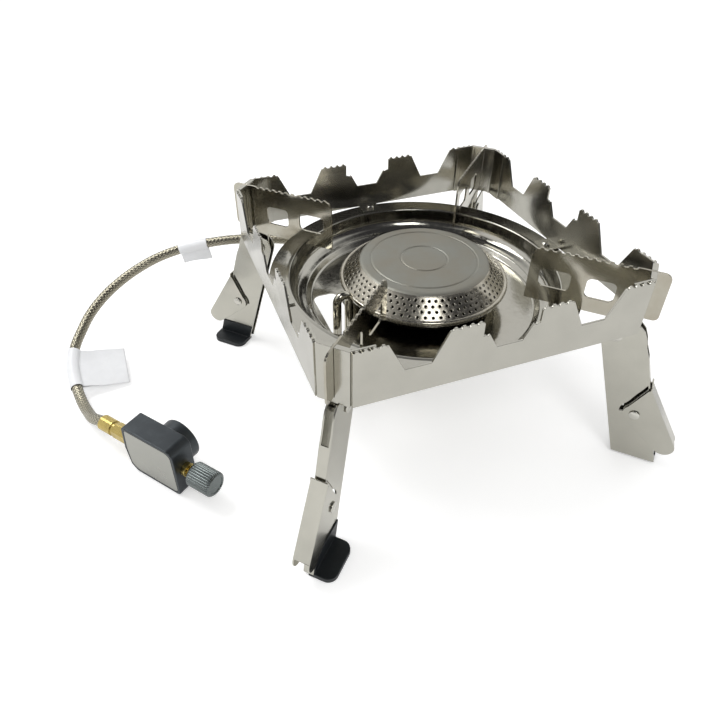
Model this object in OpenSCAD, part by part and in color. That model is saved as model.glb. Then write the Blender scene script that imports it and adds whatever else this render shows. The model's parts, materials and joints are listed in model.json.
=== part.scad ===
// Remote canister stove: a square windshield frame on four folding legs, a perforated burner in a
// drip dish, and a braided hose that ends in a canister valve.
// The ground is z = 0, +Z is up, and X and Y are square to the four side plates.

/* [Frame] */
// Distance across two opposite side plates, outside
frame_w = 190; // [170:1:215]
// Length of one side plate, outside, between its corner plates
side_len = 163; // [150:1:168]
// Height of the side plates
plate_h = 33.5; // [30:0.5:38]
// Height of the pan support above the ground
stove_h = 130; // [120:1:145]
// Thickness of the side plates, corner plates and fins
sheet_t = 1.2; // [1:0.1:1.5]
// Depth of the valleys cut in the top of a side plate
valley_d = 17.5; // [12:0.5:20]
// Spacing of the grip teeth on the top edges
tooth_pitch = 4.3; // [3.8:0.1:5]
// Depth of the grip teeth
tooth_d = 1.2; // [0.8:0.1:1.6]

/* [Dish] */
// Radius of the dish at its lip
dish_r = 81.2; // [78:0.5:84]
// Depth of the dish below its lip
dish_d = 16.9; // [14:0.5:19]
// Sheet thickness of the dish and the burner bowl
dish_t = 0.8; // [0.6:0.1:1]

/* [Burner] */
// Radius of the flat top of the burner cap
cap_r = 38.5; // [34:0.5:41]
// Radius of the burner at its rolled rim
rim_r = 51; // [47:0.5:53]
// Height of the perforated skirt
skirt_h = 10; // [8:0.5:12]
// Distance from the pan support down to the burner cap
cap_drop = 24; // [22:0.5:28]
// Rows of flame ports in the skirt
port_rows = 4; // [3:1:5]
// Flame ports in one row
ports_per_row = 36; // [24:2:48]
// Diameter of a flame port
port_d = 1.4; // [1:0.1:1.6]

/* [Legs] */
// Outside width of the leg channel
leg_w = 6; // [5.4:0.1:7]
// Sheet thickness of the legs and flaps
leg_t = 1; // [0.8:0.1:1.2]
// Depth of the leg channel, from its open edge to its back
leg_d = 24.2; // [22:0.2:26]
// Angle of a standing leg from the vertical
leg_splay = 17; // [14:0.5:18]
// Radius of the leg's pivot pin
pin_r = 2; // [1.6:0.1:2.3]
// Width of the foot, out from the leg
foot_w = 11; // [9:0.5:13]
// Thickness of the rubber under the foot
pad_t = 1.5; // [1:0.1:2]
// Outside width of the flap
flap_w = 9.6; // [9.4:0.1:10.6]
// Angle of a resting flap from the vertical
flap_splay = 31.3; // [31:0.1:33]
// Radius of the flap's rivet
rivet_r = 1.6; // [1.3:0.1:1.8]

/* [Hose and valve] */
// Diameter of the braided hose
hose_d = 7.2; // [6:0.2:8]
// Length of the valve body
valve_len = 42; // [40:1:44]
// Height of the valve body
valve_h = 36; // [34:0.5:38]
// Thickness of the valve body
valve_t = 15; // [14:0.5:17]
// Outside radius of the canister collar
collar_r = 13.3; // [12.5:0.1:14]
// Radius of the canister thread at its crests
thread_r = 5.15; // [5.1:0.05:5.2]
// Length of the canister thread
thread_len = 7; // [6:0.5:8]
// Radius of the flame control knob
knob_r = 7.5; // [7:0.1:9]
// Length of the flame control knob
knob_len = 17; // [14:0.5:20]
// Flutes round the knob
knob_flutes = 28; // [20:2:32]

/* [Hidden] */
$fn = 64;

steel = "#b9b7ad";
dark_steel = "#8e8f88";
brass = "#c9a53a";
gunmetal = "#3a4042";

// Clearances: a pin turning in its hole, a bolt or rivet held in its hole, and the side play that
// keeps two sheets of a joint apart.
run_gap = 0.05;
seat_gap = 0.02;
side_gap = 0.3;
cut = 0.1;

// Frame heights and plan.
top_z = stove_h;
base_z = top_z - plate_h;
half_w = frame_w / 2;
half_len = side_len / 2;
corner_r = (half_w + half_len) / sqrt(2);
corner_len = (half_w - half_len) * sqrt(2);
seam = 0.3;
web_seam = 0.9;
slot_w = sheet_t + 0.2;

// Profile of a side plate: where each valley of its top edge starts and ends, from its middle.
mid_floor = 7.2;
mid_ledge = 12;
peak_in = 15.6;
peak_out = peak_in + 4 * tooth_pitch;
side_floor_in = 41.5;
side_floor_out = 55.6;
end_peak = half_len - 4 * tooth_pitch;
ledge_d = valley_d / 2;
// The tab at the middle of a side plate that carries the dish.
tab_w = 13;
tab_l = 12;
// The wings of a corner plate behind the side plates, and its folded lip.
wing_l = 12;
lip_w = 3;

// Fins.
fin_in = 61.5;
fin_tail = corner_r + 7.7;
fin_flat = corner_r - 10.8;
fin_teeth = 11;
fin_shoulder = 5;
tail_h = 29.5;
lug_r = 5.5;

// Leg pivot and the channel about it.
pivot_r = corner_r - 9.8;
pivot_z = base_z - 9.5;
leg_in = 8;
leg_out = leg_d - leg_in;
web_start = 16;
spacer_t = leg_w / 2 - leg_t - sheet_t / 2 - side_gap;
head_t = 1.1;
pin_len = leg_w + 2 * side_gap;
// The rubber coat on the sides of the foot, and how far it runs up the leg.
coat_t = 0.7;
coat_h = 12;

// Flap rivet: across and down the leg from the pivot.
rivet_x = 7.1;
rivet_y = -55.4;
rivet_pos_r = pivot_r + rivet_x * cos(leg_splay) - rivet_y * sin(leg_splay);
rivet_pos_z = pivot_z + rivet_x * sin(leg_splay) + rivet_y * cos(leg_splay);
flap_t = leg_t * 0.8;
slot_t = 2;
// The flap's web lies over the back of the leg and just clears it at its top end.
flap_top = 15.3;
flap_bottom = -26.8;
flap_tilt = flap_splay - leg_splay;
flap_out = (leg_out - rivet_x + side_gap + flap_top * sin(flap_tilt)) / cos(flap_tilt) + flap_t;
nose_r = 6.6;
toe_r = 6;

// Dish and burner heights.
floor_z = base_z - dish_d;
step_drop = 4.8;
ledge_z = floor_z + step_drop;
// How far the ledge falls towards the step, and the slope at its outer end.
ledge_fall = 1.6;
ledge_slope = 15;
step_r = dish_r - 10.7;
flange_r = half_w - sheet_t - 0.2;
under_z = floor_z - dish_t;
cap_z = top_z - cap_drop;
skirt_r = cap_r + 1.4;
rim_z = cap_z - 1.2 - skirt_h;
bead_r = 1.4;
tube_r = 7;
tube_bore = 5.6;
bowl_z = rim_z - 11.2;
collar_flange_r = 16;
screw_ring = 12;
screw_r = 1.5;
// Screws that hold the dish to the side plates.
dish_screw_r = half_w - 7.4;

// Inlet under the dish.
inlet_z = under_z - 12.8;
block_x = 9;
block_y = 8;
block_h = 13;
bracket_t = 1;
// The preheat tube stands in a plane turned from -X towards -Y, its two legs on each side of
// preheat_mid; one leg's run lies above the inlet's axis and the other's below it.
preheat_turn = 14;
preheat_mid = 58.7;
preheat_gap = 4;
preheat_step = 3.2;
preheat_r = 2.5;
preheat_top = top_z - 26;
preheat_bend = 8;
preheat_arch_z = preheat_top - preheat_r - preheat_gap;
hole_mid = 57;
hole_x = 16;
hole_y = 42;

// The hose: its exit, its route to the valve, and its end at the ferrule.
gland_len = 21;
hose_start = block_y + bracket_t + gland_len;
HOSE_ROUTE = [
    [0, hose_start, inlet_z], [0, 48, 66], [-3, 66, 66], [-11, 83, 65.5], [-23, 98, 65],
    [-38, 111, 64.5], [-55, 122, 64], [-73, 131, 63.5], [-92, 138.5, 62.5], [-112, 144.5, 60],
    [-132, 148.5, 56.5], [-150, 149.5, 52], [-167, 147, 46.5], [-182, 141.5, 41],
    [-195, 133.5, 35.5], [-205.5, 124.5, 29.5], [-213, 114, 24], [-219, 103, 19],
    [-222, 91.5, 14.5], [-222, 79, 11.3], [-220.5, 67, 9], [-218, 55, 7.7], [-214.5, 43, 8.7],
    [-210.3, 30.6, 13.4]];
valve_x = -193.2;
valve_y = -5;
valve_turn = -52;
valve_axis = 17.5;
ferrule_len = 12;
nut_len = 11;
neck_len = 4;
ferrule_x = -(ferrule_len + nut_len + neck_len);
HOSE_END = [
    valve_x + ferrule_x * cos(valve_turn) - valve_t / 2 * sin(valve_turn),
    valve_y + ferrule_x * sin(valve_turn) + valve_t / 2 * cos(valve_turn),
    valve_axis];
hose_path = concat(HOSE_ROUTE, [HOSE_END]);
hose_sides = 10;
// The labels round the hose.
tag_t = 0.6;
tag_slack = 0.8;

// Valve fittings.
panel_t = 0.6;
collar_x = 24;
collar_z = 18;
collar_len = thread_len + 2.5;
spindle_r = 2.6;
spindle_in = 8;
packing_len = 3;
knob_gap = 6.5;

// ---- shared shapes -------------------------------------------------------------------------

// Places a child at corner i: +X points out through the corner and +Y runs anticlockwise.
module at_corner(i) rotate([0, 0, 90 * i - 45]) children();

// Places a child on side i: +X runs along the plate and +Y points inwards from its outer face.
module at_side(i) rotate([0, 0, 90 * (i - 1)]) translate([0, -half_w, 0]) children();

// Stands a flat outline of radius and height up, centred on the radial plane.
module radial_plate(t, y = 0) translate([0, y + t / 2, 0]) rotate([90, 0, 0]) linear_extrude(t) children();

// A rectangle with round corners, from its lower left corner.
module round_rect(w, h, r) {
    translate([r, 0]) square([w - 2 * r, h]);
    translate([0, r]) square([w, h - 2 * r]);
    for (x = [r, w - r]) for (y = [r, h - r]) translate([x, y]) circle(r);
}

// Unit normals along a path, to its left, and the path moved across by t.
function unit(v) = v / norm(v);
function left(v) = [-v[1], v[0]];
function path_normal(p, k) =
    let (a = left(unit(p[max(k, 1)] - p[max(k, 1) - 1])),
         b = left(unit(p[min(k + 1, len(p) - 1)] - p[min(k + 1, len(p) - 1) - 1])))
    (a + b) / (1 + a * b);
function moved_path(p, t) = [for (k = [0:len(p) - 1]) p[k] + t * path_normal(p, k)];

// A flat band of width w along a path.
module band(path, w) {
    back = moved_path(path, -w / 2);
    polygon(concat(moved_path(path, w / 2), [for (k = [len(back) - 1:-1:0]) back[k]]));
}

// A spun sheet of thickness t under a profile of radius and height, drawn from the middle out.
module spun_sheet(profile, t) {
    under = moved_path(profile, -t);
    rotate_extrude($fn = 128)
        polygon(concat(profile, [for (k = [len(under) - 1:-1:0]) under[k]]));
}

// Points of an arc, for the round stretches of a profile.
function arc(c, r, a0, a1, n = 5) =
    [for (k = [0:n]) let (a = a0 + (a1 - a0) * k / n) c + r * [cos(a), sin(a)]];

// ---- frame ---------------------------------------------------------------------------------

// Grip teeth along a level top edge, as the gaps between n round bumps.
module tooth_gaps(x0, x1, n) {
    pitch = (x1 - x0) / n;
    for (k = [0:n]) translate([x0 + k * pitch, top_z + tooth_d * 0.25]) scale(tooth_d * 1.25) circle(1, $fn = 24);
}

// Half of a side plate's outline, from its middle to its end.
module half_side() {
    valley_z = top_z - valley_d;
    ledge = top_z - ledge_d;
    difference() {
        polygon([
            [0, base_z], [half_len - seam, base_z], [half_len - seam, top_z], [end_peak, top_z],
            [side_floor_out, valley_z], [side_floor_in, valley_z], [peak_out, top_z],
            [peak_in, top_z], [peak_in, ledge], [mid_ledge, ledge], [mid_floor, valley_z],
            [0, valley_z]]);
        tooth_gaps(peak_in, peak_out, 4);
        tooth_gaps(end_peak, half_len - seam, 4);
        translate([mid_ledge + 1.2, ledge + 0.3]) circle(0.9, $fn = 24);
    }
}

module side_plate(i) color(steel) at_side(i) {
    translate([0, sheet_t, 0]) rotate([90, 0, 0]) linear_extrude(sheet_t) {
        half_side();
        mirror([1, 0]) half_side();
    }
    difference() {
        translate([-tab_w / 2, sheet_t, base_z]) cube([tab_w, tab_l - sheet_t, sheet_t]);
        translate([0, half_w - dish_screw_r, base_z - cut]) cylinder(r = screw_r + seat_gap, h = sheet_t + 2 * cut);
    }
}

module corner_plate(i) color(steel) at_corner(i) {
    half = corner_len / 2;
    difference() {
        union() {
            translate([0, 0, base_z]) linear_extrude(plate_h) {
                translate([corner_r - sheet_t, -half + web_seam]) square([sheet_t, 2 * (half - web_seam)]);
                for (s = [-1, 1]) {
                    // The step that carries each wing behind its side plate.
                    translate([corner_r - 2 * sheet_t, s > 0 ? half - 3 : -half + 1.5])
                        square([sheet_t, 1.5]);
                    translate([corner_r, s * half]) rotate(s * 45)
                        translate([-2 * sheet_t, s > 0 ? -0.5 : -wing_l])
                        square([sheet_t, wing_l + 0.5]);
                }
            }
            translate([corner_r - lip_w, -half + 1.5, top_z - sheet_t]) cube([lip_w, 2 * half - 3, sheet_t]);
        }
        translate([corner_r - 3 * lip_w, -slot_w / 2, top_z - tail_h - 0.5])
            cube([4 * lip_w, slot_w, tail_h + 1]);
    }
}

// Outline of a fin: a serrated pan support inside, and a tail that passes through the corner plate.
module fin_outline() {
    tail_z = top_z - tail_h;
    window_z = top_z - 24.5;
    difference() {
        polygon(concat(
            [[fin_in, base_z], [fin_in, top_z - fin_shoulder], [fin_in + 2.6, top_z]],
            arc([fin_tail - 4, top_z - 4], 4, 90, 0),
            arc([fin_tail - 3, tail_z + 3], 3, 0, -90),
            [[corner_r - sheet_t - 0.5, tail_z], [corner_r - sheet_t - 0.5, base_z]],
            [[pivot_r + lug_r, base_z]], arc([pivot_r, pivot_z], lug_r, 0, -180, 16),
            [[pivot_r - lug_r, base_z]]));
        tooth_gaps(fin_in + 2.6, fin_flat, fin_teeth);
        translate([corner_r - 32, window_z]) round_rect(15.5, 12, 3);
        translate([fin_in + 6, window_z + 0.8]) round_rect(17, 11.3, 3);
        translate([pivot_r, pivot_z]) circle(pin_r + seat_gap);
    }
}

module fin(i) color(steel) at_corner(i) radial_plate(sheet_t) fin_outline();

// ---- dish and its fixings ------------------------------------------------------------------

dish_profile = concat(
    [[tube_r + seat_gap, floor_z], [step_r - 2, floor_z]],
    [[step_r, ledge_z - ledge_fall - 1.2], [step_r + 2, ledge_z - ledge_fall]],
    arc([dish_r - 3.6, ledge_z + 3], 3, ledge_slope - 90, -5),
    arc([dish_r + 1.6, base_z - 1.6], 1.6, 180, 90),
    [[flange_r, base_z]]);

module drip_dish() color(steel) difference() {
    spun_sheet(dish_profile, dish_t);
    for (i = [1:4]) at_side(i) translate([0, half_w - dish_screw_r, base_z - 2 * dish_t])
        cylinder(r = screw_r + seat_gap, h = 3 * dish_t);
    for (a = [30, 150, 270]) rotate([0, 0, a]) translate([screw_ring, 0, under_z - cut])
        cylinder(r = screw_r + seat_gap, h = dish_t + 2 * cut);
    translate([-hole_mid - hole_x / 2, -hole_y / 2, under_z - cut]) linear_extrude(dish_t + 2 * cut)
        round_rect(hole_x, hole_y, 5);
}

// A pan-head screw, its head standing on z = 0, with a cross recess.
module pan_screw(length) difference() {
    union() {
        translate([0, 0, -length]) cylinder(r = screw_r, h = length);
        cylinder(r = 2.8, h = 1.2);
        translate([0, 0, 1.2]) cylinder(r1 = 2.8, r2 = 1.9, h = 0.7);
    }
    for (a = [0, 90]) rotate([0, 0, a]) translate([-1.6, -0.3, 0.9]) cube([3.2, 0.6, 2]);
}

module dish_screws() color("#c8c8c2") for (i = [1:4]) at_side(i)
    translate([0, half_w - dish_screw_r, base_z + sheet_t]) pan_screw(5.5);

module dish_nuts() color("#b0b0aa") for (i = [1:4]) at_side(i)
    translate([0, half_w - dish_screw_r, base_z - dish_t - 2.4]) difference() {
        cylinder(r = 3.1, h = 2.4, $fn = 6);
        translate([0, 0, -cut]) cylinder(r = screw_r + seat_gap, h = 3, $fn = 48);
    }

// ---- burner --------------------------------------------------------------------------------

cap_profile = concat(
    [[0, cap_z]], arc([cap_r - 0.8, cap_z - 2], 2, 90, 50, 3),
    [[skirt_r, cap_z - 1.2], [rim_r - 1.6, rim_z]]);

module flame_ports() {
    slope = atan2(skirt_h, rim_r - 1.6 - skirt_r);
    for (row = [0:port_rows - 1]) {
        f = (row + 0.8) / (port_rows + 0.5);
        for (k = [0:ports_per_row - 1])
            rotate([0, 0, (k + (row % 2) / 2) * 360 / ports_per_row])
                translate([skirt_r + f * (rim_r - 1.6 - skirt_r), 0, cap_z - 1.2 - f * skirt_h])
                rotate([0, 90 - slope, 0]) cylinder(d = port_d, h = 4, center = true, $fn = 16);
    }
}

module burner_cap() color(dark_steel) difference() {
    union() {
        spun_sheet(cap_profile, 1);
        rotate_extrude($fn = 128) translate([rim_r - bead_r, rim_z - 0.6]) circle(bead_r, $fn = 24);
    }
    for (r = [13.7, cap_r - 7]) rotate_extrude($fn = 128) translate([r, cap_z - 0.4]) square([0.9, 1]);
    flame_ports();
}

module burner_bowl() color(steel) spun_sheet(concat(
    [[tube_r + seat_gap, bowl_z], [24, bowl_z + 0.8], [40, bowl_z + 2.6]],
    arc([43, bowl_z + 8], 5.6, -60, -15, 4),
    [[rim_r - 0.6, rim_z - 0.6 - bead_r]]), dish_t);

// The mixing tube passes up through the dish; its flange is screwed to the dish floor.
module mixing_tube() color(dark_steel) difference() {
    union() {
        translate([0, 0, under_z - 5]) cylinder(r = tube_r, h = bowl_z + 2 - under_z + 5);
        translate([0, 0, floor_z]) cylinder(r = collar_flange_r, h = 1.2);
        translate([0, 0, floor_z]) cylinder(r = 8.8, h = bowl_z - dish_t - floor_z);
    }
    translate([0, 0, under_z - 6]) cylinder(r = tube_bore, h = bowl_z + 4 - under_z + 6);
    for (a = [30, 150, 270]) rotate([0, 0, a]) translate([screw_ring, 0, floor_z - cut])
        cylinder(r = screw_r + seat_gap, h = 3);
}

module burner_screws() color("#c8c8c2") for (a = [30, 150, 270]) rotate([0, 0, a])
    translate([screw_ring, 0, floor_z + 1.2]) pan_screw(5);

// The strap that carries the jet block under the mixing tube.
module jet_bracket() color(steel) difference() {
    union() {
        translate([-8, -collar_flange_r, under_z - bracket_t]) cube([16, 2 * collar_flange_r, bracket_t]);
        for (s = [-1, 1]) translate([-5, s > 0 ? block_y : -block_y - bracket_t, inlet_z - 5])
            cube([10, bracket_t, under_z - inlet_z + 5]);
    }
    translate([0, 0, under_z - 3]) cylinder(r = tube_r + seat_gap, h = 4);
    for (a = [30, 150, 270]) rotate([0, 0, a]) translate([screw_ring, 0, under_z - 3])
        cylinder(r = screw_r + seat_gap, h = 4);
    translate([0, block_y - cut, inlet_z]) rotate([-90, 0, 0]) cylinder(r = 4 + seat_gap, h = 2);
}

module jet_block() color(brass) translate([-block_x, -block_y, inlet_z - block_h / 2])
    cube([2 * block_x, 2 * block_y, block_h]);

module jet() color(brass) translate([0, 0, inlet_z + block_h / 2]) difference() {
    union() {
        cylinder(r = 3.2, h = 1.6, $fn = 6);
        cylinder(r = 2.2, h = 3.4);
        translate([0, 0, 3.4]) cylinder(r1 = 2.2, r2 = 1.2, h = 1.4);
    }
    translate([0, 0, 1]) cylinder(r = 0.4, h = 5, $fn = 24);
}

// One leg of the preheat tube, r from the burner's axis: out of the block at z, and up.
module preheat_leg(r, z) {
    translate([block_x - 1, 0, z]) rotate([0, 90, 0]) cylinder(r = preheat_r, h = r - preheat_bend - block_x + 1.01);
    translate([r - preheat_bend, 0, z + preheat_bend]) rotate([90, 0, 0]) rotate([0, 0, -90])
        rotate_extrude(angle = 90) translate([preheat_bend, 0]) circle(preheat_r);
    translate([r, 0, z + preheat_bend - 0.01])
        cylinder(r = preheat_r, h = preheat_arch_z - z - preheat_bend + 0.02);
}

module preheat_tube() color("#a89a78") difference() {
    rotate([0, 0, 180 + preheat_turn]) {
        preheat_leg(preheat_mid - preheat_gap, inlet_z + preheat_step);
        preheat_leg(preheat_mid + preheat_gap, inlet_z - preheat_step);
        translate([preheat_mid, 0, preheat_arch_z]) rotate([90, 0, 0]) rotate_extrude(angle = 180)
            translate([preheat_gap, 0]) circle(preheat_r);
    }
    translate([-block_x, -block_y, inlet_z - block_h / 2]) cube([2 * block_x, 2 * block_y, block_h]);
}

// ---- legs ----------------------------------------------------------------------------------

module leg_spacers() color(dark_steel) for (i = [1:4]) at_corner(i) for (s = [-1, 1])
    translate([pivot_r, s * (sheet_t + spacer_t) / 2, pivot_z]) rotate([90, 0, 0]) difference() {
        cylinder(r = 3.5, h = spacer_t, center = true);
        cylinder(r = pin_r + seat_gap, h = spacer_t + 1, center = true);
    }

// A headed pin or rivet of radius r across a joint, long between its heads.
module headed_pin(r, length, head_r) rotate([90, 0, 0]) {
    cylinder(r = r, h = length + cut, center = true);
    for (s = [-1, 1]) {
        translate([0, 0, s * (length + head_t / 2) / 2]) cylinder(r = head_r, h = head_t / 2, center = true);
        translate([0, 0, s * (length / 2 + head_t * 0.75)]) mirror([0, 0, s > 0 ? 0 : 1])
            cylinder(r1 = head_r, r2 = head_r * 0.6, h = head_t / 2, center = true);
    }
}

module leg_pins() color("#c8c8c2") for (i = [1:4]) at_corner(i)
    translate([pivot_r, 0, pivot_z]) headed_pin(pin_r, pin_len, 3.6);

// Turns a child into the leg's own axes: origin at the pivot, -Y down the leg, +X to its back.
module leg_axes() translate([pivot_r, pivot_z]) rotate(leg_splay) children();

// The relief slot that runs round the flap rivet in each side of the leg.
module relief_slot() leg_axes() translate([rivet_x, rivet_y])
    band(concat([[9, 20.4], [6.4, 17.4], [2, 12.8], [-1, 9.2]], arc([0, 0], nose_r + 1, 115, 172, 6)), slot_t);

// A point beside the pivot, out and up, in the leg's own axes.
function in_leg(p) = [p[0] * cos(leg_splay) + p[1] * sin(leg_splay), p[1] * cos(leg_splay) - p[0] * sin(leg_splay)];
nub_h = base_z - pivot_z - side_gap;

module leg_side() difference() {
    // Round top, and the stop nub that meets the corner plate when the leg is out.
    leg_axes() polygon(concat(
        [[leg_out, -stove_h], [-leg_in, -stove_h]], arc([0, 0], leg_in, 180, 90, 8),
        [in_leg([7.6, nub_h]), in_leg([11, nub_h]), in_leg([13.8, 6.4]), in_leg([16, 1.4])],
        [[leg_out - 0.7, -9], [leg_out, -web_start]]));
    translate([0, -stove_h]) square([2 * frame_w, stove_h + pad_t]);
    relief_slot();
    translate([pivot_r, pivot_z]) circle(pin_r + run_gap);
    translate([rivet_pos_r, rivet_pos_z]) circle(rivet_r);
}

module leg_back() difference() {
    leg_axes() translate([leg_out - leg_t, -stove_h]) square([leg_t, stove_h - web_start]);
    translate([0, -stove_h]) square([2 * frame_w, stove_h + pad_t]);
}

// Radius of the leg's inner and outer edges where they meet the foot.
function edge_r(across) = pivot_r + (pivot_z - pad_t) * tan(leg_splay) + across / cos(leg_splay);
foot_in = edge_r(-leg_in) + 1;
foot_out = edge_r(leg_out) - 0.5;

// Plan of the foot: a tongue beside the leg with its outer corners round.
module foot_plan(grow) difference() {
    translate([foot_in - grow, 0]) square([foot_out - foot_in + 2 * grow, leg_w / 2 + foot_w + grow]);
    for (side = [0, 1]) {
        r = 5 + grow;
        c = [side ? foot_out + grow - r : foot_in - grow + r, leg_w / 2 + foot_w + grow - r];
        translate(c) difference() {
            translate([side ? 0 : -r - 1, 0]) square([r + 1, r + 1]);
            circle(r);
        }
    }
}

module leg(i) color(steel) at_corner(i) {
    for (s = [-1, 1]) radial_plate(leg_t, s * (leg_w - leg_t) / 2) leg_side();
    radial_plate(leg_w) leg_back();
    translate([0, 0, pad_t]) linear_extrude(leg_t) difference() {
        foot_plan(0);
        translate([0, -1]) square([2 * frame_w, leg_w / 2 - leg_t + 1]);
    }
}

// The rubber boot: a sole, a cover over the foot, and a coat up the side of the leg.
module foot_pad(i) color("#101518") at_corner(i) {
    linear_extrude(pad_t) foot_plan(coat_t);
    difference() {
        translate([0, 0, pad_t]) linear_extrude(leg_t + coat_t) difference() {
            foot_plan(coat_t);
            translate([0, -1]) square([2 * frame_w, leg_w / 2 + 1]);
        }
        translate([0, 0, pad_t]) linear_extrude(leg_t) foot_plan(0);
    }
    radial_plate(coat_t, (leg_w + coat_t) / 2) intersection() {
        leg_axes() translate([-leg_in, -stove_h]) square([leg_d, stove_h]);
        translate([0, pad_t + leg_t]) square([2 * frame_w, coat_h - leg_t]);
    }
}

module flap_axes() translate([rivet_pos_r, rivet_pos_z]) rotate(flap_splay) children();

module flap_side() difference() {
    flap_axes() {
        circle(nose_r);
        polygon([
            [flap_out, flap_top], [flap_out - 2, flap_top], [-1.5, 6.4], [-6.4, -1.6],
            [flap_out - 2 * toe_r, flap_bottom - 1.2], [flap_out - toe_r, flap_bottom],
            [flap_out, flap_bottom]]);
        translate([flap_out - toe_r, flap_bottom]) circle(toe_r);
    }
    translate([rivet_pos_r, rivet_pos_z]) circle(rivet_r + run_gap);
}

module flap_back() flap_axes() {
    translate([flap_out - flap_t, flap_bottom]) square([flap_t, flap_top - flap_bottom]);
    translate([flap_out - flap_t, flap_top]) rotate(-28) square([flap_t, 2.6]);
}

module flap(i) color("#b3b1a7") at_corner(i) {
    for (s = [-1, 1]) radial_plate(flap_t, s * (flap_w - flap_t) / 2) flap_side();
    radial_plate(flap_w) flap_back();
}

module flap_rivet(i) color("#c8c8c2") at_corner(i) translate([rivet_pos_r, 0, rivet_pos_z]) {
    headed_pin(rivet_r, flap_w + 2 * side_gap, 3);
    // Shoulders that keep the flap's sides off the leg.
    shoulder = (flap_w - leg_w) / 2 - flap_t - side_gap;
    for (s = [-1, 1]) translate([0, s * (leg_w + shoulder) / 2, 0]) rotate([90, 0, 0])
        cylinder(r = 2.6, h = shoulder, center = true);
}

// ---- hose ----------------------------------------------------------------------------------

module hose_gland() color(brass) translate([0, block_y, inlet_z]) rotate([-90, 0, 0]) {
    cylinder(r = 4, h = bracket_t + 0.5);
    translate([0, 0, bracket_t]) cylinder(r = 6, h = 7, $fn = 6);
    translate([0, 0, bracket_t + 7]) cylinder(r = 4.6, h = 2.5);
    translate([0, 0, bracket_t + 9.5]) cylinder(r = 5.1, h = gland_len - 9.5);
}

valve_dir = [cos(valve_turn), sin(valve_turn), 0];

// Direction of the hose at one of its points, square to its fittings at both ends.
function hose_dir(k) = k == 0 ? [0, 1, 0] : k == len(hose_path) - 1 ? valve_dir
    : unit(unit(hose_path[k + 1] - hose_path[k]) + unit(hose_path[k] - hose_path[k - 1]));

// A ring of points round the hose at one of its points, with its first point always uppermost.
function hose_ring(k) =
    let (d = hose_dir(k), across = unit(cross(d, [0, 0, 1])), up = cross(across, d))
    [for (s = [0:hose_sides - 1]) let (a = 360 * s / hose_sides)
        hose_path[k] + hose_d / 2 * (cos(a) * up + sin(a) * across)];

module hose() color("#8f8b7c") {
    rings = len(hose_path);
    n = hose_sides;
    polyhedron(
        points = [for (k = [0:rings - 1]) each hose_ring(k)],
        faces = concat(
            [[for (s = [n - 1:-1:0]) s]],
            [for (k = [0:rings - 2]) for (s = [0:n - 1])
                [k * n + s, k * n + (s + 1) % n, (k + 1) * n + (s + 1) % n, (k + 1) * n + s]],
            [[for (s = [0:n - 1]) (rings - 1) * n + s]]));
}

// Places a child on the hose half way between two of its points, with +X along it.
module on_hose(k) {
    d = hose_path[k + 1] - hose_path[k];
    translate((hose_path[k] + hose_path[k + 1]) / 2)
        rotate([0, -atan2(d[2], norm([d[0], d[1]])), atan2(d[1], d[0])]) children();
}

// A loop of label stock round the hose.
module tag_loop(length) rotate([0, 90, 0]) difference() {
    cylinder(r = hose_d / 2 + tag_slack + tag_t, h = length, center = true);
    cylinder(r = hose_d / 2 + tag_slack, h = length + 1, center = true);
}

module tag_small() color("#e4e6ea") on_hose(9) {
    tag_loop(18);
    translate([-9, -tag_t / 2, -13]) cube([18, tag_t, 13 - hose_d / 2 - tag_slack - tag_t / 2]);
}

module tag_large() color("#e4e6ea") on_hose(18) {
    tag_loop(10);
    near = hose_d / 2 + tag_slack + tag_t / 2;
    // The flag is narrow at the loop, so that the bend of the hose clears its corners.
    rotate([-12, 0, 0]) translate([0, 0, -tag_t / 2]) linear_extrude(tag_t)
        polygon([[-4.5, near], [4.5, near], [6, near + 4], [17, near + 6], [17, 36], [-17, 36], [-17, near + 6], [-6, near + 4]]);
}

// ---- valve ---------------------------------------------------------------------------------

// The valve's own axes: origin at the foot of its front face, +X along it, +Y to its back.
module at_valve() translate([valve_x, valve_y, 0]) rotate([0, 0, valve_turn]) children();

// Places a round child on the valve's long axis, pointing along +X from x.
module on_valve_axis(x) at_valve() translate([x, valve_t / 2, valve_axis]) rotate([0, 90, 0]) children();

module hose_ferrule() color(brass) on_valve_axis(ferrule_x) {
    cylinder(r = 5, h = ferrule_len - 2);
    translate([0, 0, ferrule_len - 2]) cylinder(r = 4.3, h = 2);
}

module ferrule_nut() color(brass) on_valve_axis(ferrule_x + ferrule_len) {
    cylinder(r = 5.2, h = nut_len, $fn = 6);
    translate([0, 0, nut_len]) cylinder(r = 3.8, h = neck_len);
}

// Outline of the valve's face, set in by an edge: round corners and a leaning end.
module valve_face(inset) {
    r = 5 - inset / 2;
    x1 = valve_len - inset;
    z0 = inset;
    z1 = valve_h - inset;
    polygon(concat(
        arc([9 + inset / 2, z0 + 8], 8, 262, 205), [[inset, 18], [inset + 1.6, z1 - 1.5], [inset + 3, z1]],
        arc([x1 - r, z1 - r], r, 90, 0), arc([x1 - 3, z0 + 3], 3, 0, -90)));
}

module valve_body() color(gunmetal) difference() {
    at_valve() difference() {
        translate([0, valve_t, 0]) rotate([90, 0, 0]) linear_extrude(valve_t) valve_face(0);
        translate([0, panel_t, 0]) rotate([90, 0, 0]) linear_extrude(2 * panel_t) valve_face(1.8);
    }
    on_valve_axis(valve_len - spindle_in - 1) cylinder(r = spindle_r + run_gap, h = spindle_in + 2);
}

module valve_panel() color("#9a9a94") at_valve() translate([0, panel_t, 0]) rotate([90, 0, 0])
    linear_extrude(panel_t - 0.1) valve_face(1.85);

// Places a round child on the canister thread's axis, pointing out of its mouth.
module on_thread(y) at_valve() translate([collar_x, valve_t + y, collar_z]) rotate([-90, 0, 0]) children();

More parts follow.
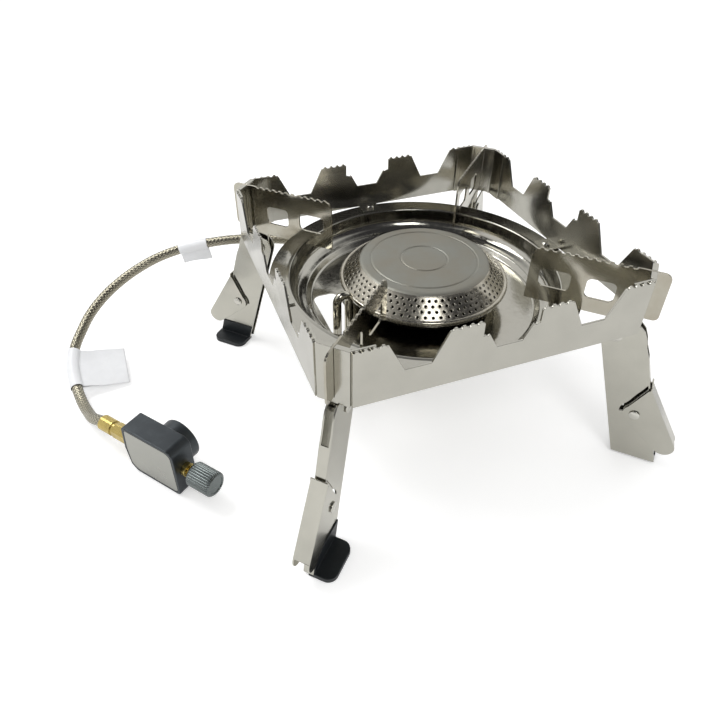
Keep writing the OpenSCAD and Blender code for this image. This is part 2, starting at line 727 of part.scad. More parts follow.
module canister_collar() color(gunmetal) on_thread(0) difference() {
    cylinder(r = collar_r, h = collar_len);
    translate([0, 0, collar_len - thread_len]) cylinder(r = thread_r, h = thread_len + 1);
    translate([0, 0, 0.5]) cylinder(r = 4.9, h = collar_len);
}

module collar_seal() color("#15181a") on_thread(0.5) difference() {
    cylinder(r = 4.88, h = 1.6);
    translate([0, 0, -cut]) cylinder(r = 1.6, h = 2);
}

module depressor_pin() color(brass) on_thread(0.5) cylinder(r = 0.9, h = 1.9);

module packing_nut() color(brass) on_valve_axis(valve_len) difference() {
    cylinder(r = 4.2, h = packing_len);
    translate([0, 0, -cut]) cylinder(r = spindle_r + run_gap, h = packing_len + 1);
}

module valve_spindle() color(brass) on_valve_axis(valve_len - spindle_in)
    cylinder(r = spindle_r, h = spindle_in + knob_gap + knob_len - 5);

module valve_knob() color("#4a5150") on_valve_axis(valve_len + knob_gap) difference() {
    union() {
        cylinder(r = knob_r, h = knob_len - 1);
        translate([0, 0, knob_len - 1]) cylinder(r1 = knob_r, r2 = knob_r - 1, h = 1);
    }
    translate([0, 0, -cut]) cylinder(r = spindle_r, h = knob_len - 5 + cut);
    for (k = [0:knob_flutes - 1]) rotate([0, 0, k * 360 / knob_flutes]) translate([knob_r + 0.15, 0, -cut])
        cylinder(r = 0.5, h = knob_len + 1, $fn = 16);
    translate([0, 0, knob_len - 0.4]) cylinder(r = knob_r - 2.2, h = 1);
}

// ---- nodes ---------------------------------------------------------------------------------

for (i = [1:4]) {
    side_plate(i);
    corner_plate(i);
    fin(i);
    leg(i);
    flap(i);
    flap_rivet(i);
    foot_pad(i);
}
drip_dish();
dish_screws();
dish_nuts();
burner_cap();
burner_bowl();
mixing_tube();
burner_screws();
jet_bracket();
jet_block();
jet();
preheat_tube();
leg_spacers();
leg_pins();
hose_gland();
hose();
hose_ferrule();
ferrule_nut();
valve_body();
valve_panel();
canister_collar();
collar_seal();
depressor_pin();
packing_nut();
valve_spindle();
valve_knob();
tag_small();
tag_large();
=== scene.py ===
"""The looks of a remote canister stove: stamped and spun stainless steel, a drilled burner crown,
a braided hose with blank labels, and a gunmetal valve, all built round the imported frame."""

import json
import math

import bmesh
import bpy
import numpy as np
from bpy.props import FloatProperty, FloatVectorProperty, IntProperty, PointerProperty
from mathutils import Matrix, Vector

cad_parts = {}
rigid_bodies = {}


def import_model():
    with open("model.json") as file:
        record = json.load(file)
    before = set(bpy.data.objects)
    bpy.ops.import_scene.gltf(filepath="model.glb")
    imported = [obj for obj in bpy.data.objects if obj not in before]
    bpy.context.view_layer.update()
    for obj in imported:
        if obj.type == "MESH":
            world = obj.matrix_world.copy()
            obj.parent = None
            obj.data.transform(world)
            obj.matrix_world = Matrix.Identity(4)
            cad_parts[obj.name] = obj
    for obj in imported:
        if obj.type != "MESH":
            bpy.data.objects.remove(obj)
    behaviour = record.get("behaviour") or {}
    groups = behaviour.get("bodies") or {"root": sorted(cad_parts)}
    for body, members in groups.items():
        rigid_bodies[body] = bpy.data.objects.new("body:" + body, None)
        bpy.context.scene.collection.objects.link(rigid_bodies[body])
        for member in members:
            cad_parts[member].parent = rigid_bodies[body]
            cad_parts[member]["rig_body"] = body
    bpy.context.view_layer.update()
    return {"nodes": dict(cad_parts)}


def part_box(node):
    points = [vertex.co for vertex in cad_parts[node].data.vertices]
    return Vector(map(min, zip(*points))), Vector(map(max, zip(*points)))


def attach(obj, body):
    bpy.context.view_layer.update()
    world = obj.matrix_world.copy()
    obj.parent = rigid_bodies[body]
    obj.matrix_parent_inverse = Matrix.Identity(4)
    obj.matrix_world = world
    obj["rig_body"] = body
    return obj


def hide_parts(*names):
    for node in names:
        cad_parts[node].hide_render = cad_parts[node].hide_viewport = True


bl_info = {
    "name": "Remote Canister Stove",
    "version": (1, 0, 0),
    "blender": (4, 5, 0),
    "location": "View3D > Sidebar > Stove",
    "description": "Builds the finished pieces and the metals of a remote canister stove",
    "category": "Add Mesh",
}

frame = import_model()

MM = 0.001
CORNERS = range(1, 5)

# ---- sizes read from the frame -----------------------------------------------------------------

DISH_LO, DISH_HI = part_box("drip_dish")
CAP_LO, CAP_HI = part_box("burner_cap")
BOWL_LO, BOWL_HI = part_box("burner_bowl")
COLLAR_LO, COLLAR_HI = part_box("canister_collar")
VALVE_TURN = math.radians(-52)
UP = np.array([0.0, 0.0, 1.0])


def linear(code):
    """An sRGB hex colour as linear red, green and blue."""
    srgb = np.array([int(code[k:k + 2], 16) for k in (1, 3, 5)]) / 255
    return tuple(np.where(srgb <= 0.04045, srgb / 12.92, ((srgb + 0.055) / 1.055) ** 2.4).tolist())


def size_property(name, description, millimetres, lowest, highest):
    """A length that a user may change, given in millimetres."""
    return FloatProperty(
        name=name, description=description, default=millimetres * MM, min=lowest * MM,
        max=highest * MM, unit="LENGTH", precision=5)


def colour_property(name, description, code):
    """A colour that a user may change, given as sRGB hex."""
    return FloatVectorProperty(
        name=name, description=description, default=linear(code), min=0, max=1, size=3,
        subtype="COLOR")


class StoveSizes(bpy.types.PropertyGroup):
    """Sizes of the finished pieces."""

    sheet_edge: size_property(
        "Sheet edge", "Radius worn on the edges of the stamped sheets", 0.16, 0.05, 0.3)
    hardware_edge: size_property(
        "Hardware edge", "Radius on the edges of screws, pins and nuts", 0.15, 0.05, 0.4)
    valve_edge: size_property("Valve edge", "Chamfer on the edges of the valve body", 0.6, 0.1, 1)
    rubber_edge: size_property("Rubber edge", "Radius on the edges of the rubber feet", 0.55, 0.1, 0.7)
    hose_diameter: size_property("Hose diameter", "Outside diameter of the braided hose", 7.2, 5, 9)
    braid_pitch: size_property("Braid pitch", "Length in which a strand goes once round", 30, 15, 50)
    braid_relief: size_property(
        "Braid relief", "Depth of the hollows between the strands", 0.32, 0.1, 0.6)
    braid_strands: IntProperty(
        name="Braid strands", description="Strands in each direction round the hose",
        default=10, min=6, max=16)
    crown_wall: size_property("Crown wall", "Sheet thickness of the burner crown", 0.5, 0.3, 1.2)
    port_diameter: size_property("Port diameter", "Diameter of a flame port", 1.7, 0.8, 2)
    ports_per_row: IntProperty(
        name="Ports per row", description="Flame ports in one row round the skirt",
        default=68, min=40, max=80)
    port_rows: IntProperty(
        name="Port rows", description="Rows of flame ports down the skirt", default=4, min=3, max=5)
    flute_depth: size_property("Flute depth", "Depth of the knob's flutes", 0.5, 0.2, 0.8)
    label_film: size_property("Label film", "Thickness of the label film", 0.14, 0.08, 0.3)


class StoveColours(bpy.types.PropertyGroup):
    """Colours of the finishes."""

    frame_steel: colour_property("Frame steel", "Stamped plates of the windshield", "#b4b2a9")
    fin_steel: colour_property("Fin steel", "Radial pan supports", "#b3b0a4")
    dish_steel: colour_property("Dish steel", "Spun drip dish and bowl", "#b1afa6")
    crown_steel: colour_property("Crown steel", "Blasted top of the burner", "#93938b")
    skirt_steel: colour_property("Skirt steel", "Drilled skirt of the burner", "#bab6aa")
    leg_steel: colour_property("Leg steel", "Folded legs and flaps", "#bab8ae")
    heat_tint: colour_property("Heat tint", "Straw oxide on steel that has been hot", "#8a7350")
    hardware: colour_property("Hardware", "Screws, nuts, pins and rivets", "#cbc9c1")
    brass: colour_property("Brass", "Ferrule, nuts and spindle", "#bda968")
    braid: colour_property("Braid", "Wires of the hose braid", "#a29d8c")
    gunmetal: colour_property("Gunmetal", "Anodised valve body and collar", "#474b4e")
    panel: colour_property("Panel", "Inset face of the valve", "#a3a39c")
    knob: colour_property("Knob", "Fluted flame control knob", "#6d7372")
    rubber: colour_property("Rubber", "Dipped feet and seal", "#101518")
    label: colour_property("Label", "Blank label film", "#ebecee")


# ---- meshes ------------------------------------------------------------------------------------


def unit(vectors):
    """Each row of an array of vectors, divided by its length."""
    return vectors / np.linalg.norm(vectors, axis=-1, keepdims=True)


def grid_faces(rows, columns, wrap):
    """Quads of a grid of points, row by row; wrap joins the last column to the first."""
    i, j = np.meshgrid(np.arange(rows - 1), np.arange(columns if wrap else columns - 1), indexing="ij")
    i, j = i.ravel(), j.ravel()
    k = (j + 1) % columns
    return np.stack([i * columns + j, i * columns + k, (i + 1) * columns + k, (i + 1) * columns + j], 1)


def grid_uv(rows, columns):
    """The place of each quad's corners on a wrapped grid: turns round, and the share along."""
    i, j = np.meshgrid(np.arange(rows - 1), np.arange(columns), indexing="ij")
    i, j = i.ravel(), j.ravel()
    around = np.stack([j, j + 1, j + 1, j], 1) / columns
    along = np.stack([i, i, i + 1, i + 1], 1) / (rows - 1)
    return np.stack([around, along], 2).reshape(-1, 2)


def lathe(profile, segments):
    """A profile of radius and height spun about the upright axis: each point becomes a ring of
    radius times cosine and sine of the angle, at its height."""
    angle = np.linspace(0, 2 * math.pi, segments, endpoint=False)
    radius, height = profile[:, :1], profile[:, 1:]
    points = np.stack(
        [radius * np.cos(angle), radius * np.sin(angle), height + 0 * angle], 2)
    return points.reshape(-1, 3), grid_faces(len(profile), segments, True)


def rounded(points, radii, steps=6):
    """A line of points with each corner rounded: the corner is left where its radius is 0, and
    else becomes an arc that touches both of its sides."""
    points = np.array(points, float)
    made = [points[:1]]
    for before, corner, after, radius in zip(points, points[1:], points[2:], radii):
        if radius == 0:
            made.append(corner[None])
            continue
        a, b = unit(before - corner), unit(after - corner)
        half = math.acos(np.clip(a @ b, -1, 1)) / 2
        middle = corner + unit(a + b) * radius / math.sin(half)
        start = corner + a * radius / math.tan(half) - middle
        end = corner + b * radius / math.tan(half) - middle
        share = np.linspace(0, 1, steps + 1)[:, None]
        made.append(middle + unit(start * (1 - share) + end * share) * radius)
    made.append(points[-1:])
    return np.concatenate(made)


def thickened(profile, thickness):
    """A closed outline: the profile, and the profile moved across by the thickness, run back."""
    slope = unit(np.gradient(profile, axis=0))
    normal = np.stack([-slope[:, 1], slope[:, 0]], 1)
    back = (profile - normal * thickness)[::-1]
    return np.concatenate([profile, back, profile[:1]])


def make_piece(name, points, faces, material, body, weld=True, uv=None, values=None):
    """A smooth mesh piece at the origin that rides on a body. With weld its doubles are merged and
    its faces turned outwards. Values is a name and one number for each point."""
    mesh = bpy.data.meshes.new(name)
    mesh.from_pydata(np.asarray(points).tolist(), [], [list(face) for face in faces])
    if values:
        layer = mesh.attributes.new(values[0], "FLOAT", "POINT")
        layer.data.foreach_set("value", np.asarray(values[1], np.float32).ravel())
    if uv is not None:
        mesh.uv_layers.new(name="UVMap").data.foreach_set("uv", uv.astype(np.float32).ravel())
    if weld:
        weld_mesh(mesh, recalculate=True)
    mesh.shade_smooth()
    piece = bpy.data.objects.new(name, mesh)
    bpy.context.scene.collection.objects.link(piece)
    mesh.materials.append(material)
    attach(piece, body)
    return piece


def weld_mesh(mesh, recalculate=False, flatten=False):
    """Merges a mesh's doubled points. Flatten also joins the faces that lie in one plane."""
    work = bmesh.new()
    work.from_mesh(mesh)
    bmesh.ops.remove_doubles(work, verts=work.verts, dist=0.002 * MM)
    bmesh.ops.dissolve_degenerate(work, edges=work.edges, dist=0.001 * MM)
    if flatten:
        bmesh.ops.dissolve_limit(
            work, angle_limit=math.radians(0.5), verts=work.verts, edges=work.edges)
    if recalculate:
        bmesh.ops.recalc_face_normals(work, faces=work.faces)
    work.to_mesh(mesh)
    work.free()


def round_edges(piece, radius, segments=2, angle=35):
    """Rounds every edge that is sharper than the angle."""
    bevel = piece.modifiers.new("edges", "BEVEL")
    bevel.width = radius
    bevel.segments = segments
    bevel.limit_method = "ANGLE"
    bevel.angle_limit = math.radians(angle)
    bevel.use_clamp_overlap = False
    bevel.harden_normals = True
    return bevel


def finished_copy(node, material, edge, segments=2):
    """A welded copy of a frame node with rounded edges, which stands for the node."""
    source = frame["nodes"][node]
    co = np.empty(len(source.data.vertices) * 3, np.float32)
    source.data.vertices.foreach_get("co", co)
    corner = np.empty(len(source.data.loops), np.int32)
    source.data.loops.foreach_get("vertex_index", corner)
    piece = make_piece(
        node + "_finished", co.reshape(-1, 3), corner.reshape(-1, 3), material, source["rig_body"],
        weld=False)
    weld_mesh(piece.data, flatten=True)
    round_edges(piece, edge, segments)
    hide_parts(node)
    return piece


# ---- materials ---------------------------------------------------------------------------------


def add_node(tree, kind, values=None):
    """Adds a node. Values are its own settings or, by name or place, what its inputs get: a number,
    a colour or another node's output."""
    node = tree.nodes.new(kind)
    for key, value in (values or {}).items():
        if isinstance(value, bpy.types.NodeSocket):
            tree.links.new(value, node.inputs[key])
        elif isinstance(key, int) or key in node.inputs:
            node.inputs[key].default_value = value
        else:
            setattr(node, key, value)
    return node


def calculate(tree, operation, *terms):
    """The output of a math node on numbers and outputs, in the order of its inputs."""
    return add_node(
        tree, "ShaderNodeMath", {"operation": operation, **dict(enumerate(terms))}).outputs[0]


def object_place(tree):
    """The output that gives a point's place in its object."""
    return add_node(tree, "ShaderNodeTexCoord").outputs["Object"]


def noise(tree, place, scale, detail, roughness=0.5, distortion=0.0):
    """The value of a noise texture at a place."""
    return add_node(tree, "ShaderNodeTexNoise", {
        "Scale": scale, "Detail": detail, "Roughness": roughness, "Distortion": distortion,
        "Vector": place}).outputs[0]


def map_range(tree, value, low, high, start, end, kind="LINEAR"):
    """A value carried from one range to another, and held at its ends."""
    return add_node(tree, "ShaderNodeMapRange", {
        "interpolation_type": kind, "From Min": low, "From Max": high, "To Min": start,
        "To Max": end, "Value": value}).outputs[0]


def mix_colours(tree, share, first, second):
    """A colour that goes from the first to the second by a share."""
    return add_node(
        tree, "ShaderNodeMix", {"data_type": "RGBA", 0: share, 6: first, 7: second}).outputs[2]


def raised(tree, height, strength, distance, below=None):
    """A normal bent by a height, on top of another normal if one is given."""
    values = {"Height": height, "Strength": strength, "Distance": distance}
    if below is not None:
        values["Normal"] = below
    return add_node(tree, "ShaderNodeBump", values).outputs[0]


def made_once(surface):
    """Turns a function that describes a surface into one that makes its material, or finds the one
    of that name. It takes the node tree and gives the inputs of the Principled shader."""
    def material(*about, name=surface.__name__, **more):
        made = bpy.data.materials.get(name)
        if made:
            return made
        made = bpy.data.materials.new(name)
        made.use_nodes = True
        tree = made.node_tree
        tree.nodes.clear()
        shader = add_node(tree, "ShaderNodeBsdfPrincipled", surface(tree, *about, **more))
        add_node(tree, "ShaderNodeOutputMaterial", {"Surface": shader.outputs[0]})
        return made
    return material


def rgba(colour, scale=1.0):
    """A colour property as four numbers, darkened or lightened by a scale."""
    return tuple(min(1.0, c * scale) for c in colour) + (1.0,)


@made_once
def sheet_stainless(tree, colour, roughness, waviness, speck=0.35, brush=(1, 1, 1), tint=None):
    """Cold-rolled stainless sheet, stamped and tumbled: a satin grey with a warm cast, faint handling
    marks, a fine grain along the brush direction and a slow wave that bends its reflections."""
    place = object_place(tree)
    # Blotches about 20 mm across, from handling and the mill.
    cloud = noise(tree, place, 50.0, 4.0, 0.6)
    # Grain: lines 0.35 mm apart, as coarse as shows, stretched along the brush direction.
    stretch = add_node(tree, "ShaderNodeMapping", {"Scale": brush, "Vector": place})
    grain = noise(tree, stretch.outputs[0], 2800.0, 2.0, 0.6)
    # Pits and specks about 0.8 mm across, far apart.
    pits = noise(tree, place, 900.0, 3.0, 0.7)
    clean = mix_colours(
        tree, map_range(tree, cloud, 0.35, 0.7, 0.0, 0.3), rgba(colour, 1.06),
        rgba(tint or colour, 0.8))
    spotted = mix_colours(
        tree, map_range(tree, pits, 0.66, 0.74, 0.0, speck), clean, rgba(colour, 0.45))
    slow = raised(tree, noise(tree, place, 90.0, 1.0), 1.0, waviness)
    return {
        "Base Color": spotted,
        "Metallic": 1.0,
        "Roughness": map_range(tree, cloud, 0.3, 0.7, roughness * 0.8, roughness * 1.25),
        "Normal": raised(tree, grain, 0.5, 0.01 * MM, slow)}


@made_once
def spun_stainless(tree, colour, tint, roughness):
    """Stainless spun on a lathe and polished: mirror-like with fine rings about its axis, and a
    straw tint where the burner heats it."""
    place = object_place(tree)
    flat = add_node(
        tree, "ShaderNodeVectorMath", {"operation": "MULTIPLY", 0: place, 1: (1, 1, 0)}).outputs[0]
    radius = add_node(
        tree, "ShaderNodeVectorMath", {"operation": "LENGTH", 0: flat}).outputs["Value"]
    # Rings left by the spinning tool, 0.4 mm apart.
    rings = add_node(tree, "ShaderNodeTexNoise", {
        "noise_dimensions": "1D", "Scale": 2500.0, "Detail": 3.0, "Roughness": 0.7,
        "W": radius}).outputs[0]
    cloud = noise(tree, place, 60.0, 3.0, 0.6)
    # Vertical draw marks on the wall: noise that hardly changes with height.
    squeeze = add_node(tree, "ShaderNodeMapping", {"Scale": (1.0, 1.0, 0.05), "Vector": place})
    streak = noise(tree, squeeze.outputs[0], 420.0, 3.0, 0.65)
    patchy = calculate(tree, "MULTIPLY", map_range(tree, radius, 0.075, 0.03, 0.0, 0.22), cloud)
    return {
        "Base Color": mix_colours(tree, patchy, rgba(colour), rgba(tint)),
        "Metallic": 1.0,
        "Roughness": map_range(tree, streak, 0.3, 0.75, roughness * 0.7, roughness * 1.7),
        "Normal": raised(tree, cloud, 0.6, 0.25 * MM, raised(tree, rings, 0.35, 0.01 * MM))}


@made_once
def bead_blasted_stainless(tree, colours):
    """Bead-blasted stainless: an even matte grey with a grain of fine pits and slight heat stains."""
    place = object_place(tree)
    # Pits 0.25 mm apart, coarser than the real ones so that they show.
    grain = noise(tree, place, 3500.0, 2.0, 0.6)
    stain = noise(tree, place, 45.0, 4.0, 0.6)
    return {
        "Base Color": mix_colours(
            tree, map_range(tree, stain, 0.35, 0.75, 0.0, 0.25), rgba(colours.crown_steel, 1.04),
            rgba(colours.heat_tint, 1.1)),
        "Metallic": 0.9,
        "Roughness": 0.5,
        "Normal": raised(tree, grain, 0.4, 0.02 * MM)}


@made_once
def stainless_wire_braid(tree, colours, sizes, length):
    """Stainless wire braid: bundles of bright drawn wires that cross at an angle, with painted shade in
    the hollows between them and a painted highlight on the strands on top. The wires follow the hose's own
    turns and length."""
    uv = add_node(tree, "ShaderNodeUVMap", {"uv_map": "UVMap"}).outputs[0]
    across, along, _ = add_node(tree, "ShaderNodeSeparateXYZ", {0: uv}).outputs
    turns = calculate(tree, "MULTIPLY", along, length / sizes.braid_pitch)
    # Four wires side by side make one strand.
    wires = 2 * math.pi * 4 * sizes.braid_strands
    climbing, falling = (
        calculate(tree, "SINE", calculate(
            tree, "MULTIPLY", calculate(tree, way, across, turns), wires))
        for way in ("ADD", "SUBTRACT"))
    over = add_node(tree, "ShaderNodeAttribute", {"attribute_name": "strand_over"}).outputs["Fac"]
    wire = add_node(tree, "ShaderNodeMix", {
        "data_type": "FLOAT", 0: calculate(tree, "GREATER_THAN", over, 0.5), 2: falling,
        3: climbing}).outputs[0]
    # Painted shade: where neither strand is well on top, the hollow is painted dark; where one strand is
    # well on top, the braid colour is painted lighter as a highlight.
    depth = calculate(tree, "ABSOLUTE", calculate(tree, "SUBTRACT", over, 0.5))
    return {
        "Base Color": mix_colours(
            tree, map_range(tree, depth, 0.05, 0.4, 1.0, 0.0), rgba(colours.braid, 1.15),
            rgba(colours.braid, 0.08)),
        "Metallic": 1.0,
        "Roughness": 0.24,
        "Normal": raised(tree, wire, 0.5, 0.03 * MM)}


@made_once
def turned_brass(tree, colours):
    """Turned brass, lightly tarnished: warm yellow with browner patches and a soft shine."""
    tarnish = noise(tree, object_place(tree), 260.0, 4.0, 0.65)
    return {
        "Base Color": mix_colours(
            tree, map_range(tree, tarnish, 0.4, 0.7, 0.0, 0.55), rgba(colours.brass, 1.05),
            rgba(colours.brass, 0.7)),
        "Metallic": 1.0,
        "Roughness": map_range(tree, tarnish, 0.3, 0.7, 0.18, 0.36),
        "Normal": raised(tree, tarnish, 0.3, 0.03 * MM)}


@made_once
def anodised(tree, colour, roughness, metallic=0.85, wear=1.5):
    """Bead-blasted aluminium under a dyed anodic film: dark and even, with a fine grain and slightly
    paler rubbed patches."""
    place = object_place(tree)
    # Grain 0.3 mm apart, as coarse as shows.
    grain = noise(tree, place, 3000.0, 2.0, 0.6)
    rub = noise(tree, place, 130.0, 4.0, 0.6)
    return {
        "Base Color": mix_colours(
            tree, map_range(tree, rub, 0.5, 0.8, 0.0, 0.5), rgba(colour), rgba(colour, wear)),
        "Metallic": metallic,
        "Roughness": map_range(tree, rub, 0.3, 0.7, roughness * 0.85, roughness * 1.2),
        "Normal": raised(tree, grain, 0.35, 0.02 * MM)}


@made_once
def dipped_rubber(tree, colours):
    """Dip-moulded rubber: near black, soft-edged, with a slight orange peel and dusty patches."""
    place = object_place(tree)
    peel = noise(tree, place, 700.0, 2.0)
    dust = noise(tree, place, 180.0, 4.0, 0.7)
    return {
        "Base Color": mix_colours(
            tree, map_range(tree, dust, 0.5, 0.8, 0.0, 0.6), rgba(colours.rubber),
            rgba(colours.rubber, 2.6)),
        "Roughness": 0.42,
        "Normal": raised(tree, peel, 0.4, 0.08 * MM)}


@made_once
def polyester_label_film(tree, colours):
    """White polyester label film: smooth and satin, with soft creases where it was folded, and painted
    shade that makes the film darker in the low folds of the creases and lighter on their raised parts.
    """
    crease_relief_and_shade = noise(tree, object_place(tree), 120.0, 2.0, distortion=0.6)
    return {
        # Painted shade and light: the colour follows the crease relief, darker in its low folds and
        # lighter on its raised parts.
        "Base Color": mix_colours(tree, crease_relief_and_shade, rgba(colours.label, 0.93), rgba(colours.label, 1.05)),
        "Roughness": 0.38,
        "Normal": raised(tree, crease_relief_and_shade, 0.5, 0.35 * MM)}


def frame_steel(colours):
    """The stamped plates' steel."""
    return sheet_stainless(
        colours.frame_steel, 0.2, 0.1 * MM, brush=(0.1, 0.1, 1), name="stamped_stainless")


def fin_steel(colours):
    """The pan supports' steel, brighter and straw-tinted by the flame."""
    return sheet_stainless(
        colours.fin_steel, 0.13, 0.15 * MM, brush=(0.2, 0.2, 1), tint=colours.heat_tint,
        name="heat_tinted_stainless")


def leg_steel(colours):
    """The legs' steel, tumbled a little brighter than the plates."""
    return sheet_stainless(
        colours.leg_steel, 0.2, 0.12 * MM, speck=0.25, name="tumbled_stainless")


def hardware_steel(colours):
    """The fasteners' steel: cold-headed, bright and small-grained."""
    return sheet_stainless(
        colours.hardware, 0.17, 0.02 * MM, speck=0.2, name="cold_headed_stainless")


# ---- camera, floor and light ---------------------------------------------------------------------

CAMERA_PLACE = (-0.15397, -0.28961, 0.30557)
CAMERA_YAW = math.radians(19.79)
CAMERA_PITCH = math.radians(37.66)
CAMERA_ROLL = math.radians(0.239)


def make_camera(scene):
    """A camera that looks down on the stove from its front left."""
    data = bpy.data.cameras.new("camera")
    data.sensor_width = 36
    data.lens = 31.47
    data.shift_x = 0.0187
    data.shift_y = -0.048
    data.clip_start = 0.01
    camera = bpy.data.objects.new("camera", data)
    scene.collection.objects.link(camera)
    camera.matrix_world = (
        Matrix.Translation(CAMERA_PLACE) @ Matrix.Rotation(-CAMERA_YAW, 4, "Z")
        @ Matrix.Rotation(math.pi / 2 - CAMERA_PITCH, 4, "X") @ Matrix.Rotation(-CAMERA_ROLL, 4, "Z"))
    scene.camera = camera


def floor_material():
    """A pale matte floor that reads as white and keeps the stove's shadow."""
    material = bpy.data.materials.new("pale_floor")
    material.use_nodes = True
    tree = material.node_tree
    tree.nodes.clear()
    seen = add_node(tree, "ShaderNodeLightPath").outputs
    # Polished metal sees the floor a little greyer than the camera does.
    grey = calculate(tree, "MULTIPLY", seen["Is Glossy Ray"], 0.1)
    first = calculate(tree, "MAXIMUM", seen["Is Camera Ray"], seen["Is Transmission Ray"])
    lift = calculate(tree, "MULTIPLY_ADD", first, 0.34, grey)
    matte = add_node(tree, "ShaderNodeBsdfDiffuse", {"Color": (0.88, 0.88, 0.88, 1)})
    glow = add_node(tree, "ShaderNodeEmission", {"Strength": lift})
    both = add_node(tree, "ShaderNodeAddShader", {0: matte.outputs[0], 1: glow.outputs[0]})
    add_node(tree, "ShaderNodeOutputMaterial", {"Surface": both.outputs[0]})
    return material


def make_floor(scene):
    """A round floor, far wider than the view."""
    points, faces = lathe(np.array([[0.001, 0.0], [4.0, 0.0]]), 64)
    mesh = bpy.data.meshes.new("floor")
    mesh.from_pydata(points.tolist() + [[0, 0, 0]], [], faces.tolist() + [
        [len(points), k, (k + 1) % 64] for k in range(64)])
    mesh.materials.append(floor_material())
    floor = bpy.data.objects.new("floor", mesh)
    floor.location.z = -0.2 * MM
    scene.collection.objects.link(floor)


def make_world(scene):
    """A white surround. Polished metal sees it white near the horizon and behind the stove, and dim
    overhead and in front, as in a studio with a dark ceiling and the camera's dark side. Matte
    surfaces get an even soft light from it."""
    world = bpy.data.worlds.new("studio")
    scene.world = world
    world.use_nodes = True
    tree = world.node_tree
    tree.nodes.clear()
    way = add_node(tree, "ShaderNodeTexCoord").outputs["Generated"]
    split = add_node(tree, "ShaderNodeSeparateXYZ", {0: way}).outputs
    ceiling, forward, above = (
        map_range(tree, split[axis], low, high, 0.0, 1.0, "SMOOTHSTEP")
        for axis, low, high in (("Z", 0.62, 0.9), ("Y", -0.05, -0.45), ("Z", 0.04, 0.24)))
    dark = calculate(tree, "MAXIMUM", ceiling, calculate(tree, "MULTIPLY", forward, above))
    seen = add_node(tree, "ShaderNodeLightPath").outputs
    dim = calculate(tree, "MULTIPLY", dark, seen["Is Glossy Ray"])
    shade = mix_colours(tree, dim, (1, 1, 1, 1), (0.05, 0.05, 0.055, 1))
    first = calculate(tree, "MAXIMUM", seen["Is Camera Ray"], seen["Is Glossy Ray"])
    either = calculate(tree, "MAXIMUM", first, seen["Is Transmission Ray"])
    soft = add_node(tree, "ShaderNodeBackground", {"Color": (1, 1, 1, 1), "Strength": 0.75})
    shown = add_node(tree, "ShaderNodeBackground", {"Strength": 1.0, "Color": shade})
    mixed = add_node(
        tree, "ShaderNodeMixShader", {0: either, 1: soft.outputs[0], 2: shown.outputs[0]})
    add_node(tree, "ShaderNodeOutputWorld", {"Surface": mixed.outputs[0]})


def make_softbox(scene, name, place, target, size, power):
    """A square lamp that faces a target."""
    data = bpy.data.lights.new(name, "AREA")
    data.shape = "SQUARE"
    data.size = size
    data.energy = power
    lamp = bpy.data.objects.new(name, data)
    lamp.location = place
    lamp.rotation_mode = "QUATERNION"
    lamp.rotation_quaternion = (Vector(target) - Vector(place)).to_track_quat("-Z", "Y")
    scene.collection.objects.link(lamp)


class STOVE_OT_stage(bpy.types.Operator):
    """Makes the camera, the floor, the surround and the lamps"""

    bl_idname = "stove.stage"
    bl_label = "Stage"

    def execute(self, context):
        scene = context.scene
        scene.view_settings.view_transform = "Standard"
        make_camera(scene)
        make_floor(scene)
        make_world(scene)
        middle = (-0.03, 0.0, 0.07)
        make_softbox(scene, "key_lamp", (-0.55, 0.5, 1.15), middle, 0.5, 6.0)
        make_softbox(scene, "front_lamp", (-0.1, -0.8, 1.0), middle, 0.35, 2.5)
        return {"FINISHED"}


# ---- hose and labels -----------------------------------------------------------------------------

# The hose's route from the gland to the ferrule, in millimetres, as the frame's own tube runs.
HOSE_ROUTE = [
    (0, 30, 66), (0, 48, 66), (-3, 66, 66), (-11, 83, 65.5), (-23, 98, 65), (-38, 111, 64.5),
    (-55, 122, 64), (-73, 131, 63.5), (-92, 138.5, 62.5), (-112, 144.5, 60), (-132, 148.5, 56.5),
    (-150, 149.5, 52), (-167, 147, 46.5), (-182, 141.5, 41), (-195, 133.5, 35.5),
    (-205.5, 124.5, 29.5), (-213, 114, 24), (-219, 103, 19), (-222, 91.5, 14.5), (-222, 79, 11.3),
    (-220.5, 67, 9), (-218, 55, 7.7), (-214.5, 43, 8.7), (-210.3, 30.6, 13.4),
]
VALVE_ORIGIN = np.array([-193.2, -5.0, 17.5])
VALVE_THICK = 15.0
FERRULE_START = -27.0
VALVE_ALONG = np.array([math.cos(VALVE_TURN), math.sin(VALVE_TURN), 0])
VALVE_BACK = np.array([-math.sin(VALVE_TURN), math.cos(VALVE_TURN), 0])


